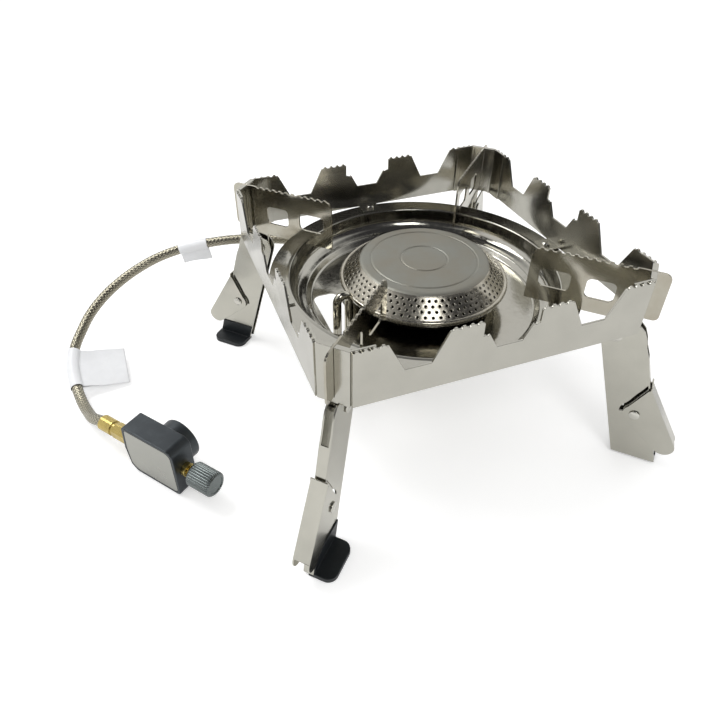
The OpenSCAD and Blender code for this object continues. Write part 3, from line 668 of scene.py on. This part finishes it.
def hose_line(spacing):
    """Even points on the smooth curve through the route, in metres. Each stretch between two route
    points is a Hermite cubic; the slope at a point is its two chords weighted by each other's
    length, which is exact on a circle."""
    end = VALVE_ORIGIN + FERRULE_START * VALVE_ALONG + VALVE_THICK / 2 * VALVE_BACK
    points = np.array(HOSE_ROUTE + [tuple(end)]) * MM
    chord = np.diff(points, axis=0)
    length = np.linalg.norm(chord, axis=1, keepdims=True)
    way = chord / length
    slope = unit(way[:-1] * length[1:] + way[1:] * length[:-1])
    slope = np.concatenate([[[0.0, 1.0, 0.0]], slope, [VALVE_ALONG]])
    t = np.linspace(0, 1, 40, endpoint=False)[None, :, None]
    a, b = points[:-1, None], points[1:, None]
    da, db = (slope[:-1] * length)[:, None], (slope[1:] * length)[:, None]
    curve = (
        a * (2 * t**3 - 3 * t**2 + 1) + da * (t**3 - 2 * t**2 + t)
        + b * (3 * t**2 - 2 * t**3) + db * (t**3 - t**2))
    curve = np.concatenate([curve.reshape(-1, 3), points[-1:]])
    run = np.concatenate([[0], np.cumsum(np.linalg.norm(np.diff(curve, axis=0), axis=1))])
    even = np.linspace(0, run[-1], int(round(run[-1] / spacing)) + 1)
    line = np.stack([np.interp(even, run, curve[:, k]) for k in range(3)], 1)
    return line, run[-1]


def line_axes(line):
    """The direction at each point of a line, and the two directions across it: level, and upright."""
    way = unit(np.gradient(line, axis=0))
    across = unit(np.cross(way, (0, 0, 1)))
    return way, across, np.cross(across, way)


def braid_height(around, turns, strands):
    """Height of a two-way braid from 0 to 1, and which way's strand is on top, from 1 to 0.
    One set of strands climbs with the turns and the other falls. Each strand has a rounded
    section, and rises over every other strand that it crosses."""
    climb = (around + turns) * strands
    fall = (around - turns) * strands
    section_a = 1 - np.abs(2 * (climb % 1) - 1) ** 3
    section_b = 1 - np.abs(2 * (fall % 1) - 1) ** 3
    weave = np.sin(math.pi * (np.floor(climb) + fall))
    other = np.sin(math.pi * (np.floor(fall) + climb))
    high_a = section_a * (0.62 + 0.38 * weave)
    high_b = section_b * (0.62 - 0.38 * other)
    over = np.clip(0.5 + (high_a - high_b), 0, 1)
    return np.maximum(high_a, high_b), over


class STOVE_OT_hose(bpy.types.Operator):
    """Makes the braided hose and the blank labels on it"""

    bl_idname = "stove.hose"
    bl_label = "Braided hose"

    def execute(self, context):
        sizes, colours = context.scene.stove_sizes, context.scene.stove_colours
        line, length = hose_line(0.36 * MM)
        way, across, up = line_axes(line)
        columns = 64
        around = np.arange(columns) / columns
        turns = np.linspace(0, length, len(line))[:, None] / sizes.braid_pitch
        height, over = braid_height(around[None], turns, sizes.braid_strands)
        radius = sizes.hose_diameter / 2 - sizes.braid_relief * (1 - height)
        angle = 2 * math.pi * around
        points = line[:, None] + radius[..., None] * (
            np.cos(angle)[None, :, None] * up[:, None] + np.sin(angle)[None, :, None] * across[:, None])
        rows = len(line)
        ends = [list(range(columns)), list(range(rows * columns - 1, (rows - 1) * columns - 1, -1))]
        faces = grid_faces(rows, columns, True)[:, ::-1].tolist() + ends
        uv = grid_uv(rows, columns).reshape(-1, 4, 2)[:, ::-1].reshape(-1, 2)
        uv = np.concatenate([uv, np.zeros((2 * columns, 2))])
        hose = make_piece(
            "braided_hose", points.reshape(-1, 3), faces, stainless_wire_braid(colours, sizes, length),
            "stove", weld=False, uv=uv, values=("strand_over", over))
        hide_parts("hose")
        make_label("small_label", "tag_small", (-122, 146.5, 58), 22 * MM, 13 * MM, 88, context)
        make_label("large_label", "tag_large", (-222, 85, 13), 33 * MM, 36 * MM, 12, context)
        return {"FINISHED"}


def make_label(name, node, centre, length, reach, droop, context):
    """A strip of label film wrapped round the hose, its two ends stuck together as a flag. The loop
    is a circle round the hose, and the flag leaves it on one side and droops. The section is
    carried along the hose, and the flag settles into one plane away from the loop."""
    sizes, colours = context.scene.stove_sizes, context.scene.stove_colours
    line, _ = hose_line(0.5 * MM)
    way, across, up = line_axes(line)
    middle = int(np.argmin(np.linalg.norm(line - np.array(centre) * MM, axis=1)))
    half = int(length / 2 / (0.5 * MM))
    rows = np.arange(middle - half, middle + half + 1)
    loop = sizes.hose_diameter / 2 + 0.45 * MM
    gap = math.radians(9)
    turn = np.linspace(gap, 2 * math.pi - gap, 49)
    ring = np.stack([loop * np.cos(turn), loop * np.sin(turn)], 1)
    out = np.linspace(0, 1, 21)[1:, None]
    film = sizes.label_film * 0.6
    top = np.concatenate([loop + out * (reach - loop), ring[0, 1] * (1 - out) ** 3 + film], 1)
    low = top * (1, -1)
    section = np.concatenate([top[::-1], ring, low])
    leave = np.concatenate([out[::-1, 0], 0 * turn, out[:, 0]])
    lean = math.radians(droop)
    # The flag turns about the hose so that it leaves on the wanted side.
    u = -(section[:, :1] * math.cos(lean) + section[:, 1:] * math.sin(lean))
    v = section[:, 1:] * math.cos(lean) - section[:, :1] * math.sin(lean)
    followed = line[rows][:, None] + u * across[rows][:, None] + v * up[rows][:, None]
    along = (rows - middle)[:, None] * 0.5 * MM
    flat = line[middle] + along[..., None] * way[middle] + u * across[middle] + v * up[middle]
    settle = np.clip(leave * 2.2, 0, 1)
    settle = (settle * settle * (3 - 2 * settle))[None, :, None]
    curl = np.sin(along / length * math.pi * 1.3 + 0.6) * leave[None] ** 1.5 * reach * 0.05
    points = followed * (1 - settle) + flat * settle + curl[..., None] * up[middle]
    label = make_piece(
        name, points.reshape(-1, 3), grid_faces(len(rows), len(section), False),
        polyester_label_film(colours), "stove", weld=False)
    solid = label.modifiers.new("film", "SOLIDIFY")
    solid.thickness = sizes.label_film
    solid.offset = 0
    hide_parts(node)


class STOVE_OT_cord(bpy.types.Operator):
    bl_idname = "stove.cord"
    bl_label = "Cord"

    def execute(self, context):
        return {"FINISHED"}


# ---- windshield plates and fins --------------------------------------------------------------------


class STOVE_OT_plates(bpy.types.Operator):
    """Finishes the four side plates, four corner plates and four fins of the windshield"""

    bl_idname = "stove.plates"
    bl_label = "Plates and fins"

    def execute(self, context):
        sizes, colours = context.scene.stove_sizes, context.scene.stove_colours
        for i in CORNERS:
            for part in ("side_plate", "corner_plate"):
                finished_copy(f"{part}_{i}", frame_steel(colours), sizes.sheet_edge)
            finished_copy(f"fin_{i}", fin_steel(colours), sizes.sheet_edge)
        return {"FINISHED"}


# ---- dish and burner -------------------------------------------------------------------------------

DISH_WALL = 0.8 * MM


def dish_profile():
    """Radius and height of the dish's upper face, from the mixing tube out to its flange."""
    floor = DISH_LO.z + DISH_WALL
    rim = DISH_HI.z
    lip = 81.2 * MM
    return rounded(
        [(7.02 * MM, floor), (lip - 12.4 * MM, floor), (lip - 9.4 * MM, floor + 3.4 * MM),
         (lip - 1.2 * MM, floor + 5.0 * MM), (lip, rim + 0.35 * MM), (lip + 2.4 * MM, rim),
         (DISH_HI.x, rim)],
        [2.2 * MM, 1.5 * MM, 8.4 * MM, 0.9 * MM, 0.9 * MM], 8)


def cut_slot(piece, centre, width, depth, radius):
    """Cuts an upright round-cornered slot through a piece."""
    corner = np.linspace(0, math.pi / 2, 7)
    quarter = np.stack([np.cos(corner), np.sin(corner)], 1) * radius
    inner = np.array([width / 2 - radius, depth / 2 - radius])
    turn = [quarter, quarter[::-1] * (-1, 1), -quarter, quarter[::-1] * (1, -1)]
    outline = np.concatenate([t + inner * np.sign(t.sum(0)) for t in turn]) + centre
    n = len(outline)
    heights = np.array([DISH_LO.z - 0.01, DISH_LO.z + 0.004])
    points = np.concatenate([np.concatenate([outline, np.full((n, 1), h)], 1) for h in heights])
    faces = grid_faces(2, n, True).tolist() + [list(range(n))[::-1], list(range(n, 2 * n))]
    mesh = bpy.data.meshes.new("slot_cutter")
    mesh.from_pydata(points.tolist(), [], faces)
    weld_mesh(mesh, recalculate=True)
    cutter = bpy.data.objects.new("slot_cutter", mesh)
    bpy.context.scene.collection.objects.link(cutter)
    cut = piece.modifiers.new("slot", "BOOLEAN")
    cut.object = cutter
    shaped = bpy.data.meshes.new_from_object(
        piece.evaluated_get(bpy.context.evaluated_depsgraph_get()))
    piece.modifiers.remove(cut)
    old, piece.data = piece.data, shaped
    shaped.name = piece.name
    bpy.data.meshes.remove(old)
    bpy.data.objects.remove(cutter)
    bpy.data.meshes.remove(mesh)


class STOVE_OT_dish(bpy.types.Operator):
    """Makes the spun drip dish with its slot, and finishes the fixings that hold it"""

    bl_idname = "stove.dish"
    bl_label = "Drip dish"

    def execute(self, context):
        sizes, colours = context.scene.stove_sizes, context.scene.stove_colours
        steel = spun_stainless(colours.dish_steel, colours.heat_tint, 0.13)
        points, faces = lathe(thickened(dish_profile(), DISH_WALL), 256)
        dish = make_piece("spun_dish", points, faces, steel, "stove")
        cut_slot(dish, (-57 * MM, 0), 16 * MM, 42 * MM, 5 * MM)
        dish.data.set_sharp_from_angle(angle=math.radians(35))
        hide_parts("drip_dish")
        for node in ("dish_screws", "dish_nuts", "burner_screws"):
            finished_copy(node, hardware_steel(colours), sizes.hardware_edge * 0.6)
        return {"FINISHED"}


def crown_top():
    """Radius and height of the crown's top, from its centre to its shoulder: flat, with two pressed
    grooves that are half a cosine wave deep."""
    top = CAP_HI.z
    radius = np.concatenate([np.linspace(0.4, 12.4, 6), np.linspace(12.8, 15.2, 13),
                             np.linspace(16, 30, 6), np.linspace(30.7, 33.3, 13),
                             np.linspace(34, 36.2, 4)]) * MM
    height = np.full(len(radius), top)
    for groove in (14.0 * MM, 32.0 * MM):
        near = np.clip(np.abs(radius - groove) / (0.95 * MM), 0, 1)
        height -= 0.42 * MM * (1 + np.cos(math.pi * near)) / 2
    height -= 0.25 * MM * (radius / (38 * MM)) ** 4
    turn = np.radians(np.linspace(85, 48, 5))
    middle = np.array([36.6 * MM, top - 3.6 * MM])
    shoulder = middle + 3.3 * MM * np.stack([np.cos(turn), np.sin(turn)], 1)
    return np.concatenate([np.stack([radius, height], 1), shoulder])


def ported_skirt(start, end, sizes):
    """The skirt as a cone from one ring to another with holes in staggered rows. Each hole has a
    square cell of 16 boundary points, two rings of 16 round its dished edge and the hole's own 16."""
    count, rows = sizes.ports_per_row, sizes.port_rows
    slant = np.array([end[0] - start[0], end[1] - start[1]])
    length = np.linalg.norm(slant)
    margin = 0.07 * length
    pitch = (length - 2 * margin) / rows
    side = np.linspace(-0.5, 0.5, 5)[:-1]
    u = np.concatenate([side, 0 * side + 0.5, -side, 0 * side - 0.5])
    v = np.concatenate([0 * side - 0.5, side, 0 * side + 0.5, -side])
    angle = np.arctan2(v, u)
    row, cell = np.meshgrid(np.arange(rows), np.arange(count), indexing="ij")
    row, cell = row.ravel()[:, None], cell.ravel()[:, None]
    middle = margin + (row + 0.5) * pitch
    width = 2 * math.pi * (start[0] + slant[0] * middle / length) / count
    turn = angle + 0 * middle
    rings = [(u + 0 * middle, v + 0 * middle, 0.0)]
    for share, sink in ((1.3, 0.0), (1.1, 0.01 * MM), (1.0, 0.06 * MM)):
        reach = sizes.port_diameter / 2 * share
        rings.append((reach * np.cos(turn) / width, reach * np.sin(turn) / pitch + 0 * middle, sink))
    made = []
    for across, down, sink in rings:
        theta = (cell + 0.5 * (row % 2) + across) * 2 * math.pi / count
        run = middle + down * pitch
        radius = start[0] + slant[0] * run / length + sink * slant[1] / length
        height = start[1] + slant[1] * run / length - sink * slant[0] / length
        made.append(np.stack([radius * np.cos(theta), radius * np.sin(theta), height], 2))
    points = np.stack(made, 1)
    cells, n = len(points), 16
    base = grid_faces(4, n, True)
    faces = (base[None] + np.arange(cells)[:, None, None] * 4 * n).reshape(-1, 4)
    return points.reshape(-1, 3), faces, margin / length


class STOVE_OT_burner(bpy.types.Operator):
    """Makes the burner's drilled crown, rolled rim and bowl, and finishes what carries them"""

    bl_idname = "stove.burner"
    bl_label = "Burner"

    def execute(self, context):
        sizes, colours = context.scene.stove_sizes, context.scene.stove_colours
        segments = sizes.ports_per_row * 4
        top = crown_top()
        rim = np.array([CAP_HI.x - 1.6 * MM, CAP_LO.z + 2.0 * MM])
        start = top[-1]
        parts = [lathe(top, segments)]
        holes, hole_faces, margin = ported_skirt(start, rim, sizes)
        parts.append((holes, hole_faces))
        for a, b in ((0, margin), (1 - margin, 1)):
            parts.append(lathe(np.array([start + (rim - start) * a, start + (rim - start) * b]), segments))
        offset, points, faces = 0, [], []
        for part_points, part_faces in parts:
            points.append(part_points)
            faces.append(part_faces + offset)
            offset += len(part_points)
        faces = np.concatenate(faces).tolist() + [list(range(segments))]
        crown = make_piece(
            "burner_crown", np.concatenate(points), faces, bead_blasted_stainless(colours), "stove")
        crown.data.materials.append(spun_stainless(
            colours.skirt_steel, colours.heat_tint, 0.2, name="drilled_stainless"))
        centre = np.empty(len(crown.data.polygons) * 3, np.float32)
        crown.data.polygons.foreach_get("center", centre)
        centre = centre.reshape(-1, 3)
        skirt = centre[:, 2] < start[1]
        crown.data.polygons.foreach_set("material_index", skirt.astype(np.int32))
        normal = np.empty(len(centre) * 3, np.float32)
        crown.data.polygons.foreach_get("normal", normal)
        if normal.reshape(-1, 3)[~skirt, 2].mean() < 0:
            crown.data.flip_normals()
        # The rim of each hole stays crisp: an edge with one face is a hole's own edge.
        edge = np.empty(len(crown.data.loops), np.int32)
        crown.data.loops.foreach_get("edge_index", edge)
        single = np.bincount(edge, minlength=len(crown.data.edges)) == 1
        sharp = crown.data.attributes.new("sharp_edge", "BOOLEAN", "EDGE")
        sharp.data.foreach_set("value", single)
        wall = crown.modifiers.new("wall", "SOLIDIFY")
        wall.thickness = sizes.crown_wall
        wall.offset = -1
        turn = np.linspace(0, 2 * math.pi, 25)
        bead = 1.4 * MM
        middle = np.array([CAP_HI.x - bead, CAP_LO.z + bead])
        points, faces = lathe(middle + bead * np.stack([np.cos(turn), np.sin(turn)], 1), segments)
        make_piece(
            "burner_rim", points, faces, crown.data.materials[1], "stove")
        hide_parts("burner_cap")
        bowl = rounded(
            [(7.02 * MM, BOWL_HI.z - 9.8 * MM), (26 * MM, BOWL_HI.z - 9.0 * MM),
             (44 * MM, BOWL_HI.z - 7.4 * MM), (49.6 * MM, BOWL_HI.z)],
            [8 * MM, 6 * MM], 8)
        bowl[:, 1] = BOWL_LO.z + DISH_WALL + (bowl[:, 1] - bowl[0, 1]) * (
            (BOWL_HI.z - BOWL_LO.z - DISH_WALL) / (bowl[-1, 1] - bowl[0, 1]))
        points, faces = lathe(thickened(bowl, DISH_WALL), 192)
        shell = make_piece(
            "spun_bowl", points, faces,
            spun_stainless(colours.dish_steel, colours.heat_tint, 0.13), "stove")
        shell.data.set_sharp_from_angle(angle=math.radians(35))
        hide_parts("burner_bowl")
        finished_copy(
            "mixing_tube", bead_blasted_stainless(colours), sizes.hardware_edge)
        finished_copy("jet_bracket", frame_steel(colours), sizes.sheet_edge)
        finished_copy("preheat_tube", fin_steel(colours), sizes.hardware_edge)
        for node in ("jet_block", "jet", "hose_gland"):
            finished_copy(node, turned_brass(colours), sizes.hardware_edge * 2)
        return {"FINISHED"}


# ---- legs ------------------------------------------------------------------------------------------


class STOVE_OT_legs(bpy.types.Operator):
    """Finishes the four folding legs with their flaps, pins, rivets and rubber feet"""

    bl_idname = "stove.legs"
    bl_label = "Legs"

    def execute(self, context):
        sizes, colours = context.scene.stove_sizes, context.scene.stove_colours
        for i in CORNERS:
            for part in ("leg", "flap"):
                finished_copy(f"{part}_{i}", leg_steel(colours), sizes.sheet_edge)
            finished_copy(
                f"flap_rivet_{i}", hardware_steel(colours), sizes.hardware_edge)
            finished_copy(
                f"foot_pad_{i}", dipped_rubber(colours), sizes.rubber_edge * 0.6, 3)
        for node in ("leg_pins", "leg_spacers"):
            finished_copy(node, hardware_steel(colours), sizes.hardware_edge)
        return {"FINISHED"}


# ---- valve -----------------------------------------------------------------------------------------


def make_thread(colours):
    """The canister thread: a triangular ridge carried along a helix inside the collar, rising one
    pitch in each turn and fading into the bore at both ends."""
    pitch, crest, root, length = 0.907 * MM, 5.16 * MM, 4.75 * MM, 6.2 * MM
    angle = np.linspace(0, 2 * math.pi * length / pitch, int(48 * length / pitch) + 1)
    fade = np.clip(np.minimum(angle, angle[::-1]) / 2.0, 0.02, 1)[:, None]
    radius = crest - (crest - root) * fade * (0, 1, 0, 0) + 0.1 * MM * np.array([0, 0, 0, 1])
    height = pitch * (np.array([-0.4, 0, 0.4, 0]) * fade + angle[:, None] / (2 * math.pi))
    centre = np.array((COLLAR_LO + COLLAR_HI) / 2)
    mouth = centre + VALVE_BACK * (9.5 / 2 * MM - length - 0.4 * MM)
    way = np.cos(angle)[:, None] * VALVE_ALONG + np.sin(angle)[:, None] * UP
    points = mouth + radius[..., None] * way[:, None] + height[..., None] * VALVE_BACK
    rows = len(angle)
    faces = grid_faces(rows, 4, True).tolist() + [[3, 2, 1, 0], [rows * 4 - k for k in (4, 3, 2, 1)]]
    make_piece(
        "canister_thread", points.reshape(-1, 3), faces,
        anodised(colours.gunmetal, 0.36, name="gunmetal_anodised"), "stove")


def make_knob(sizes, colours):
    """The fluted knob on the spindle's axis. Its radius falls from a rounded ridge to a sharp valley
    between flutes as a power of a sine, and its far end has a shallow round recess."""
    flutes, steps = 28, 12
    turn = np.linspace(0, 2 * math.pi, flutes * steps, endpoint=False)
    ridge = np.abs(np.sin(turn * flutes / 2)) ** 0.6 - 1
    # Distance along the axis, radius, and share of the flutes' depth.
    rows = np.array([
        (0, 0.3, 0), (0, 6.2, 0), (0.25, 6.65, 0.1), (0.9, 7.4, 0.8), (1.3, 7.5, 1), (15.7, 7.5, 1),
        (16.1, 7.4, 0.8), (16.75, 6.65, 0.1), (17, 6.2, 0), (17, 5.45, 0), (16.9, 5.3, 0),
        (16.6, 5.2, 0), (16.6, 0.3, 0)]) * (MM, MM, 1)
    radius = rows[:, 1:2] + sizes.flute_depth * rows[:, 2:3] * ridge[None]
    start = VALVE_ORIGIN * MM + 48.5 * MM * VALVE_ALONG + VALVE_THICK / 2 * MM * VALVE_BACK
    points = start + rows[:, :1, None] * VALVE_ALONG + radius[..., None] * (
        np.cos(turn)[None, :, None] * VALVE_BACK + np.sin(turn)[None, :, None] * UP)
    count = len(turn)
    faces = grid_faces(len(rows), count, True).tolist() + [
        list(range(count)), list(range((len(rows) - 1) * count, len(rows) * count))]
    knob = make_piece(
        "fluted_knob", points.reshape(-1, 3), faces,
        anodised(colours.knob, 0.25, 1.0, 1.2, name="knob_anodised"), "knob")
    knob.data.set_sharp_from_angle(angle=math.radians(38))
    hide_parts("valve_knob")


class STOVE_OT_valve(bpy.types.Operator):
    """Finishes the valve, its canister collar, the brass fittings and the fluted knob"""

    bl_idname = "stove.valve"
    bl_label = "Valve"

    def execute(self, context):
        sizes, colours = context.scene.stove_sizes, context.scene.stove_colours
        dark = anodised(colours.gunmetal, 0.36, name="gunmetal_anodised")
        finished_copy("valve_body", dark, sizes.valve_edge, 2)
        finished_copy("canister_collar", dark, sizes.valve_edge, 2)
        make_thread(colours)
        finished_copy(
            "valve_panel", anodised(colours.panel, 0.3, 1.0, 1.1, name="clear_anodised"),
            sizes.sheet_edge)
        make_knob(sizes, colours)
        finished_copy("collar_seal", dipped_rubber(colours), sizes.hardware_edge)
        for node in ("hose_ferrule", "ferrule_nut", "depressor_pin", "packing_nut", "valve_spindle"):
            finished_copy(node, turned_brass(colours), sizes.hardware_edge * 1.5)
        return {"FINISHED"}


# ---- add-on ----------------------------------------------------------------------------------------


class STOVE_PT_panel(bpy.types.Panel):
    """Lists the stove's sizes, colours and pieces"""

    bl_idname = "STOVE_PT_panel"
    bl_label = "Remote canister stove"
    bl_space_type = "VIEW_3D"
    bl_region_type = "UI"
    bl_category = "Stove"

    def draw(self, context):
        layout = self.layout
        for group in (context.scene.stove_sizes, context.scene.stove_colours):
            box = layout.box()
            for name in group.__annotations__:
                box.prop(group, name)
        for step in STEPS:
            layout.operator(step.bl_idname)


STEPS = (
    STOVE_OT_stage, STOVE_OT_hose, STOVE_OT_valve, STOVE_OT_cord, STOVE_OT_plates, STOVE_OT_dish,
    STOVE_OT_burner, STOVE_OT_legs)
CLASSES = (StoveSizes, StoveColours) + STEPS + (STOVE_PT_panel,)


def register():
    for cls in CLASSES:
        bpy.utils.register_class(cls)
    bpy.types.Scene.stove_sizes = PointerProperty(type=StoveSizes)
    bpy.types.Scene.stove_colours = PointerProperty(type=StoveColours)


def unregister():
    del bpy.types.Scene.stove_colours
    del bpy.types.Scene.stove_sizes
    for cls in reversed(CLASSES):
        bpy.utils.unregister_class(cls)


def main():
    """Makes the stage and every piece."""
    register()
    for step in STEPS:
        group, operator = step.bl_idname.split(".")
        getattr(getattr(bpy.ops, group), operator)()


if __name__ == "__main__":
    main()
